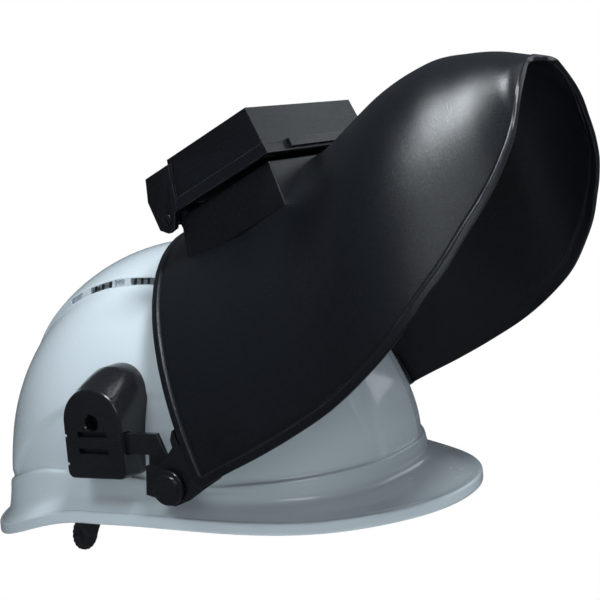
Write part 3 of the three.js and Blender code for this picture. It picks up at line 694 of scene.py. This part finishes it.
def hat_shell():
    outer, turn = shell_rows()
    moved = []
    for k, points in enumerate(outer):
        flat = points[:, :2]
        heading = flat / np.hypot(flat[:, 0], flat[:, 1])[:, None]
        push = relief(points) * (points[:, 2] > ledge_height(points[:, 1]) + 1.5)
        moved.append(np.column_stack([flat + heading * push[:, None], points[:, 2]]))
    rows = inner_rows(turn) + moved
    made = lofted("hard_hat_shell", rows)
    cut(made, vent_cutters())
    return settle(smooth(made, 42), "hat", MATERIALS["shell"], ["hat_shell"])


def vent_bars():
    """Upright bars of the grilles, set back in the open vents."""
    parts = []
    reach = -BAR["set"]
    depth = BAR["set"] + BAR["deep"]
    for side in (-1, 1):
        for start, end in VENT["open"]:
            count = int((end - start) / BAR["pitch"])
            for i in range(count):
                y = start + (end - start) * (i + 0.5) / count
                half = BAR["thick"] / 2
                parts.append(face_body("bar", side, y - half, y + half, reach, depth, 0.05, 0.93))
    made = joined(parts, "vent_bars")
    bevel(made, 0.2, 2)
    return settle(smooth(made), "hat", MATERIALS["grille"])


def nape_knob():
    """A ribbed knob on the tongue of the headband, with its face toward the rear."""
    radius, depth, start = KNOB["radius"], KNOB["depth"], KNOB["y"]
    sides = KNOB["ribs"] * 10
    turns = np.linspace(0, 2 * math.pi, sides, endpoint=False)
    rib = 0.5 + 0.5 * np.cos(turns * KNOB["ribs"])
    profile = [(0.74, 0.0, 0.0), (0.93, 0.1, 0.3), (1.0, 0.24, 1.0), (1.0, 0.78, 1.0), (0.96, 0.9, 0.6),
               (0.84, 1.0, 0.0), (0.62, 1.0, 0.0), (0.56, 0.86, 0.0), (0.2, 0.8, 0.0)]
    rings = []
    for share, along, ribbed in profile:
        r = radius * share * (1 - 0.075 * ribbed * (1 - rib) ** 2)
        y = np.full(sides, start + depth * along)
        rings.append(np.column_stack([r * np.cos(turns), y, KNOB["z"] + r * np.sin(turns)]))
    made = lofted("nape_knob_ribbed", rings)
    return settle(smooth(made, 50), "hat", MATERIALS["harness"], ["nape_knob"])


# Side adapters

def arch(half, low, shoulder, corner, steps=40):
    """Outline of [y, z] with a round head and rounded lower corners."""
    turns = np.linspace(0, math.pi, steps + 1)
    head = [(half * math.cos(t), shoulder + half * math.sin(t)) for t in turns]
    left = np.linspace(math.pi, 1.5 * math.pi, 8)
    right = np.linspace(1.5 * math.pi, 2 * math.pi, 8)
    foot = [(-half + corner + corner * math.cos(t), low + corner + corner * math.sin(t)) for t in left]
    foot += [(half - corner + corner * math.cos(t), low + corner + corner * math.sin(t)) for t in right]
    return np.array(head + foot)


def dome_side(y, z):
    """How far out the shell's outside is at a height, by halving."""
    low, high = np.zeros_like(y), np.full_like(y, LEDGE["half"] - WALL / 2 - 0.01)
    for _ in range(30):
        middle = (low + high) / 2
        under = dome_height(middle, y) > z
        low, high = np.where(under, middle, low), np.where(under, high, middle)
    return low


def adapter(side, label):
    low, half, face, shoulder, out = (ADAPTER[k] for k in ("low", "half", "face", "shoulder", "out"))
    foot = arch(half, low, shoulder, ADAPTER["foot_corner"])
    front = arch(half - face, low + face, shoulder - ADAPTER["slope"], ADAPTER["front_corner"])
    seat = dome_side(foot[:, 0], foot[:, 1]) - 1.0

    def ring(share, x):
        flat = foot + (front - foot) * share
        return np.column_stack([side * x * np.ones(len(flat)), flat])

    def shrunk(amount, x):
        middle = np.array([0, (low + shoulder + half) / 2])
        span = front - middle
        flat = middle + span * (1 - amount / np.hypot(span[:, 0], span[:, 1]))[:, None]
        return np.column_stack([np.full(len(flat), side * x), flat])

    base = np.maximum(seat + 2.5, ADAPTER["least_base"])
    rings = [ring(0.0, seat), ring(0.0, base), ring(0.03, base + 0.8)]
    last = out - 1.6
    for k in range(1, 9):
        share = 0.03 + 0.97 * (k / 8) ** 1.15
        rings.append(ring(share, base + 0.8 + (last - base - 0.8) * k / 8))
    rings += [shrunk(0.12, out - 0.9), shrunk(0.45, out - 0.4), shrunk(0.9, out - 0.1), shrunk(1.4, out)]
    made = lofted("adapter_case_" + label, rings)
    radius = SOCKET["radius"]
    bore = [(radius, side * (out - SOCKET["deep"])), (radius, side * (out - 0.5)),
            (radius + 0.7, side * (out + 0.3))]
    cutters = [disc("hole", (0, shoulder - SOCKET["drop"]), bore)]
    for drop in SLOT["drops"]:
        a, b = sorted([side * (out - SLOT["deep"]), side * (out + 1)])
        z = shoulder - drop
        cutters.append(block("slot", (a, -SLOT["half"], z), (b, SLOT["half"], z + SLOT["high"])))
    a, b = sorted([side * (out - ARM_SLOT["deep"]), side * (out - ARM_SLOT["wall"])])
    ends = low + ARM_SLOT["low"], low + ARM_SLOT["high"]
    cutters.append(block("arm_slot", (a, -half - 6, ends[0]), (b, ARM_SLOT["end"], ends[1])))
    for z in NOTCH["heights"]:
        a, b = sorted([side * (out - NOTCH["deep"]), side * (out + 1)])
        cutters.append(block("notch", (a, half - face - NOTCH["into"], z), (b, half + 1, z + NOTCH["high"])))
    for cutter in cutters:
        cut(made, cutter)
    return settle(smooth(made, 38), "hat", MATERIALS["gloss"], ["adapter_" + label])


# Shield

def table_curve(down):
    """Half width, edge and middle of the shield at a share of its drop, on smooth curves."""
    keys = SHIELD_TABLE[:, 0]
    values = []
    for column in (1, 2, 3):
        data = SHIELD_TABLE[:, column]
        slopes = np.gradient(data, keys)
        k = np.clip(np.searchsorted(keys, down) - 1, 0, len(keys) - 2)
        h = keys[k + 1] - keys[k]
        t = np.clip((down - keys[k]) / h, -0.5, 1)
        h00, h10 = 2 * t ** 3 - 3 * t ** 2 + 1, t ** 3 - 2 * t ** 2 + t
        h01, h11 = -2 * t ** 3 + 3 * t ** 2, t ** 3 - t ** 2
        values.append(h00 * data[k] + h10 * h * slopes[k] + h01 * data[k + 1] + h11 * h * slopes[k + 1])
    fade = ease(1, 0, (down - keys[1]) / (keys[5] - keys[1]))
    corner = CORNER_HALF - SHIELD_TABLE[0, 1] * SHIELD["half"]
    half = values[0] * SHIELD["half"] + corner * fade
    return half, values[1] * SHIELD["reach"], values[2] * SHIELD["reach"]


def shield_surface(turn, level):
    """Outside of the shield: turn 0 to 1 across from edge to edge, level 0 at the brow and 1 at the chin."""
    angle = math.pi * turn
    across = np.sin(angle)
    brow = SHIELD["shoulder"] + (SHIELD["brow"] - SHIELD["shoulder"]) * np.abs(across) ** 2.5
    join = SHIELD_TABLE[4, 0]
    part = 0.3
    upper = brow + (-join * SHIELD["drop"] - brow) * (level / part)
    lower = -(join + (1 - join) * (level - part) / (1 - part)) * SHIELD["drop"]
    w = np.where(level < part, upper, lower)
    down = -w / SHIELD["drop"]
    half, edge, middle = table_curve(down)
    roundness = ease(ROUND["brow"], ROUND["lens"], (down - 0.07) / 0.25)
    power = 2 / ease(roundness, ROUND["chin"], (down - 0.42) / 0.38)
    x = -half * np.sign(np.cos(angle)) * np.abs(np.cos(angle)) ** power
    f = edge + (middle - edge) * np.abs(across) ** power
    return np.stack([x, f, w], axis=-1)


def evenly(points, places):
    """Points along each row of a grid; places turns a row's length into their distances."""
    lengths = np.linalg.norm(np.diff(points, axis=1), axis=-1)
    run = np.concatenate([np.zeros((len(points), 1)), np.cumsum(lengths, axis=1)], axis=1)
    made = []
    for row, along in zip(points, run):
        total = along[-1]
        at = places(total)
        made.append(np.stack([np.interp(at, along, row[:, i]) for i in range(3)], axis=-1))
    return np.array(made)


def edge_spacing(fine, count):
    """Distances that are close near both ends of a row and even between."""
    def places(total):
        inner = np.linspace(fine[-1], total - fine[-1], count)
        return np.concatenate([fine[:-1], inner, total - np.array(fine[:-1][::-1])])
    return places


FINE = [0.0, 0.5, 1.1, 1.8, 2.6, 3.4, 4.1, 4.6, 5.1, 5.6, 6.2, 7.0, 8.2, 10.0]


def shield_grid():
    turns = np.linspace(0, 1, 721)
    levels = np.linspace(0, 1, 401)
    grid = shield_surface(*np.meshgrid(turns, levels))
    grid = evenly(grid, edge_spacing(FINE, 110))
    grid = evenly(np.swapaxes(grid, 0, 1), edge_spacing(FINE, 96))
    return np.swapaxes(grid, 0, 1)


def grid_normals(grid):
    across = np.gradient(grid, axis=1)
    down = np.gradient(grid, axis=0)
    normal = np.cross(across, down)
    return normal / np.linalg.norm(normal, axis=-1, keepdims=True)


def edge_distance(grid):
    """Distance of each grid point from the nearest border, along rows and columns."""
    def run(points, axis):
        step = np.linalg.norm(np.diff(points, axis=axis), axis=-1)
        pad = [(0, 0), (0, 0)]
        pad[axis] = (1, 0)
        there = np.pad(np.cumsum(step, axis=axis), pad)
        total = np.take(there, [-1], axis=axis)
        return np.minimum(there, total - there)
    return np.minimum(run(grid, 0), run(grid, 1))


def sheet_solid(name, outside, inside):
    rows, columns = outside.shape[:2]
    shift = rows * columns
    index = np.arange(shift).reshape(rows, columns)
    quads = np.stack([index[:-1, :-1], index[:-1, 1:], index[1:, 1:], index[1:, :-1]], axis=-1).reshape(-1, 4)
    faces = quads.tolist() + (quads[:, ::-1] + shift).tolist()
    border = [*index[0, :-1], *index[:-1, -1], *index[-1, :0:-1], *index[:0:-1, 0]]
    for a, b in zip(border, border[1:] + border[:1]):
        faces.append((int(b), int(a), int(a + shift), int(b + shift)))
    made = mesh_object(name, np.concatenate([outside.reshape(-1, 3), inside.reshape(-1, 3)]), faces)
    fix_normals(made)
    return made


def worn_block(name, half, back, front, low, high):
    return block(name, (-half, back, low), (half, front, high), from_worn)


def worn_frustum(name, back, front):
    """A body between two upright rectangles (half, f, low, high)."""
    rings = [from_worn([(-h, f, a), (h, f, a), (h, f, b), (-h, f, b)]) for h, f, a, b in (back, front)]
    return lofted(name, rings)


def shield_shell():
    grid = shield_grid()
    normal = grid_normals(grid)
    near = edge_distance(grid)
    inset, high, groove = BEAD["inset"], BEAD["high"], BEAD["groove"]
    bead = high * ease(0, 1, (inset - near) / 0.9) - groove * np.exp(-((near - inset - 0.8) / 0.6) ** 2)
    rounded = 0.7 * np.clip(1 - near / 0.9, 0, 1) ** 2
    outside = grid + normal * (bead - rounded)[..., None]
    lip = 0.9 * ease(0, 1, (9.0 - near) / 1.0)
    inside = grid - normal * (SHIELD["wall"] - lip * 0.6 - rounded * 0.5)[..., None]
    made = sheet_solid("shield_shell", from_worn(outside), from_worn(inside))
    top, bottom, wall, half = HOUSING["top"], HOUSING["bottom"], HOUSING["wall"], HOUSING["half"]
    cut(made, worn_block("window", half - 1, 60, 160, bottom + wall, top - wall))
    return settle(smooth(made, 40), "shield", MATERIALS["shield"], ["shield"])


def behind_shield():
    """The room inside the shield behind the lens, for cutting off what would stand into it."""
    turns, levels = np.meshgrid(np.linspace(0.18, 0.82, 60), np.linspace(0.01, 0.62, 50))
    front = shield_surface(turns, levels)
    back = front.copy()
    front[..., 1] -= SHIELD["wall"] / 2
    back[..., 1] -= HOUSING["deep"] * 2
    return sheet_solid("behind", from_worn(front), from_worn(back))


def housing():
    top, bottom, wall = HOUSING["top"], HOUSING["bottom"], HOUSING["wall"]
    half, deep, flare = HOUSING["half"], HOUSING["deep"], HOUSING["flare"]
    back = FACE - deep
    wide = half + flare
    rear = (wide, back, bottom + flare / 2, top + wall * 3.3)
    made = worn_frustum("lens_housing", rear, (half, FACE, bottom, top))
    bevel(made, 1.0, 3)
    hollow = worn_frustum("hollow", (wide - wall, back - 1, bottom + flare / 2 + wall, top + wall * 2.3),
                          (half - wall, FACE - deep * 0.29, bottom + wall, top - wall))
    cut(made, hollow)
    cut(made, worn_block("sight", SIGHT["half"], back - 2, FACE + 1, SIGHT["bottom"], SIGHT["top"]))
    cut(made, behind_shield())
    lap = SIGHT["lap"]
    seat = FACE - PLATE_ROOM["deep"]
    low, high = SIGHT["bottom"] - lap, SIGHT["top"] + lap
    cut(made, worn_block("pocket", PLATE_ROOM["half"], seat, FACE + 1, low, high))
    return settle(smooth(made, 40), "shield", MATERIALS["shield"], ["shield"])


def worn_disc(name, radius, left, right, f, w, sides=48):
    turns = np.linspace(0, 2 * math.pi, sides, endpoint=False)
    across = np.column_stack([f + radius * np.cos(turns), w + radius * np.sin(turns)])
    return lofted(name, [from_worn(np.column_stack([np.full(sides, x), across])) for x in (left, right)])


def hinge_lugs():
    """The two lugs of the housing that carry the lid's pin."""
    f, w = PIN_AT
    root, radius = LUG["root"], LUG["radius"]
    foot = HOUSING["top"] - 0.4
    outline = [(f + radius * 0.5, w), (f - root * 0.92, w - 0.5), (f - root, foot), (f - root * 0.1, foot)]
    parts = []
    for side in (-1, 1):
        left, right = side * LUG["at"] - LUG["half"], side * LUG["at"] + LUG["half"]
        lug = lofted("lug", [from_worn([(x, a, b) for a, b in outline]) for x in (left, right)])
        cut(lug, worn_disc("eye", radius, left, right, f, w), "UNION")
        cut(lug, worn_disc("hole", LUG["pin"], left - 1, right + 1, f, w))
        parts.append(bevel(lug, 0.3, 2))
    made = joined(parts, "hinge_lugs")
    return settle(smooth(made, 40), "shield", MATERIALS["shield"], ["shield"])


def seal_strip():
    """A strip on the housing's face that closes the gap under the lid beside the hinge."""
    top = HOUSING["top"]
    made = worn_block("seal_strip", HOUSING["half"] - 1, FACE - 0.2, FACE + 1.9, top - 3.6, top - 0.6)
    bevel(made, 0.4, 2)
    return settle(smooth(made), "shield", MATERIALS["shield"], ["shield"])


def ear_screws():
    """Slotted screw heads on the lid's ears, at the ends of the pin."""
    f, w = PIN_AT
    parts = []
    for side in (-1, 1):
        start = side * (LID_SIDE + EAR_SCREW["ear"])
        ends = sorted([start, start + side * EAR_SCREW["high"]])
        head = worn_disc("head", EAR_SCREW["radius"], *ends, f, w)
        bevel(head, 0.3, 3)
        near, far = sorted([start + side * 0.4, start + side * 1.6])
        thin = EAR_SCREW["slot_half"]
        slot = block("slot", (near, f - 4, w - thin), (far, f + 4, w + thin), from_worn)
        parts.append(cut(head, slot))
    made = joined(parts, "ear_screws")
    return settle(smooth(made, 40), "lid", MATERIALS["gloss"])


def main():
    hat_shell()
    vent_bars()
    nape_knob()
    hinge_lugs()
    seal_strip()
    ear_screws()
    for side, label in ((-1, "R"), (1, "L")):
        adapter(side, label)
    shield_shell()
    housing()


main()


# Carried-over nodes

CARRIED = {
    "lid": ("shield", 0.7),
    "clear_plate": ("clear", 0.3),
    "plate_frame": ("harness", 0.3),
    "hinge_pin": ("steel", 0.3),
    "filter_plate": ("filter", 0.3),
    "filter_clip": ("harness", 0.3),
    "headband": ("harness", 0.6),
    "strap_1": ("webbing", 0.2),
    "strap_2": ("webbing", 0.2),
}
for i in range(1, 5):
    CARRIED[f"key_{i}"] = ("harness", 0.6)
for label in "RL":
    CARRIED["arm_" + label] = ("gloss", 0.5)
    CARRIED["pivot_bolt_" + label] = ("gloss", 0.5)
    CARRIED["bracket_" + label] = ("gloss", 0.5)
    for i in (1, 2):
        CARRIED[f"bracket_screw_{label}{i}"] = ("gloss", 0.4)
for node, (skin, width) in CARRIED.items():
    made = soften_cad(node, width)
    made.data.materials.clear()
    made.data.materials.append(MATERIALS[skin])


# Floor, light and camera

def aim(made, place, target):
    made.location = Vector(place)
    made.rotation_mode = "QUATERNION"
    made.rotation_quaternion = (Vector(target) - Vector(place)).to_track_quat("-Z", "Y")


LAMP_COLOUR = (0.9, 0.96, 1.0)


def lamp(name, place, target, size, energy, shines=True):
    """A soft panel. One that doesn't shine lights surfaces but shows in no reflection."""
    data = bpy.data.lights.new(name, "AREA")
    data.shape = "RECTANGLE"
    data.size, data.size_y = size
    data.energy = energy
    data.color = LAMP_COLOUR
    made = bpy.data.objects.new(name, data)
    bpy.context.scene.collection.objects.link(made)
    made.visible_glossy = shines
    aim(made, place, target)
    return made


def seen_white(tree, dark, kind):
    """A shader that is white to the camera and the given one to all else."""
    white = tree.nodes.new(kind)
    white.inputs["Color"].default_value = (1, 1, 1, 1)
    white.inputs["Strength"].default_value = 1.0
    rays = tree.nodes.new("ShaderNodeLightPath")
    choose = tree.nodes.new("ShaderNodeMixShader")
    tree.links.new(rays.outputs["Is Camera Ray"], choose.inputs["Fac"])
    tree.links.new(dark, choose.inputs[1])
    tree.links.new(white.outputs[0], choose.inputs[2])
    return choose.outputs["Shader"]


FLOOR_LEVEL = -260.0
FLOOR_HALF = 9000.0
corners = [(-1, -1), (1, -1), (1, 1), (-1, 1)]
floor_points = [(FLOOR_HALF * a, FLOOR_HALF * b, FLOOR_LEVEL) for a, b in corners]
floor = mesh_object("floor", floor_points, [(0, 1, 2, 3)])
pale = Nodes("floor")
pale.set(Base_Color=(0.85, 0.86, 0.87, 1), Roughness=0.9)
# Seen from beneath, the floor lets the view through to the part's underside.
one_sided = pale.tree.nodes.new("ShaderNodeMixShader")
pale.link(pale.tree.nodes.new("ShaderNodeNewGeometry").outputs["Backfacing"], one_sided.inputs["Fac"])
white_floor = seen_white(pale.tree, pale.shader.outputs["BSDF"], "ShaderNodeEmission")
pale.link(white_floor, one_sided.inputs[1])
pale.link(pale.tree.nodes.new("ShaderNodeBsdfTransparent").outputs["BSDF"], one_sided.inputs[2])
pale.link(one_sided.outputs["Shader"], pale.tree.nodes["Material Output"].inputs["Surface"])
floor.data.materials.append(pale.material)
floor.visible_glossy = False

world = bpy.data.worlds.new("studio")
world.use_nodes = True
bpy.context.scene.world = world
sky = world.node_tree
dim = sky.nodes["Background"]
dim.inputs["Color"].default_value = (0.80, 0.88, 1.0, 1)
dim.inputs["Strength"].default_value = 0.08
white_sky = seen_white(sky, dim.outputs["Background"], "ShaderNodeBackground")
sky.links.new(white_sky, sky.nodes["World Output"].inputs["Surface"])

CENTRE = (0.0, -0.03, 0.09)
lamp("key", (-0.08, -0.5, 1.42), (0, -0.13, 0.19), (0.3, 0.42), 22)
lamp("far", (1.3, -0.75, 0.75), CENTRE, (1.0, 0.9), 3)
lamp("front", (-0.75, -1.2, 0.9), CENTRE, (0.7, 0.6), 3.6)
lamp("rear", (-0.55, 1.0, 0.9), CENTRE, (0.8, 0.8), 1.0, False)
lamp("top", (-0.85, 0.3, 1.25), CENTRE, (0.6, 0.6), 5.8, False)
lamp("side", (-1.4, -0.2, 0.45), CENTRE, (0.9, 0.6), 2.6, False)

CAMERA = {
    "place": (-0.71035, -0.44718, 0.20435),
    "right": (0.46395, -0.88128, -0.08996),
    "up": (0.14987, -0.02200, 0.98846),
    "forward": (0.87309, 0.47208, -0.12187),
    "lens": 90.0,
    "sensor": 36.0,
}
data = bpy.data.cameras.new("camera")
data.lens = CAMERA["lens"]
data.sensor_width = CAMERA["sensor"]
camera = bpy.data.objects.new("camera", data)
bpy.context.scene.collection.objects.link(camera)
right, up, forward = (Vector(CAMERA[key]) for key in ("right", "up", "forward"))
turned = Matrix((right, up, -forward)).transposed().to_4x4()
camera.matrix_world = Matrix.Translation(Vector(CAMERA["place"])) @ turned
bpy.context.scene.camera = camera
bpy.context.scene.view_settings.view_transform = "Standard"
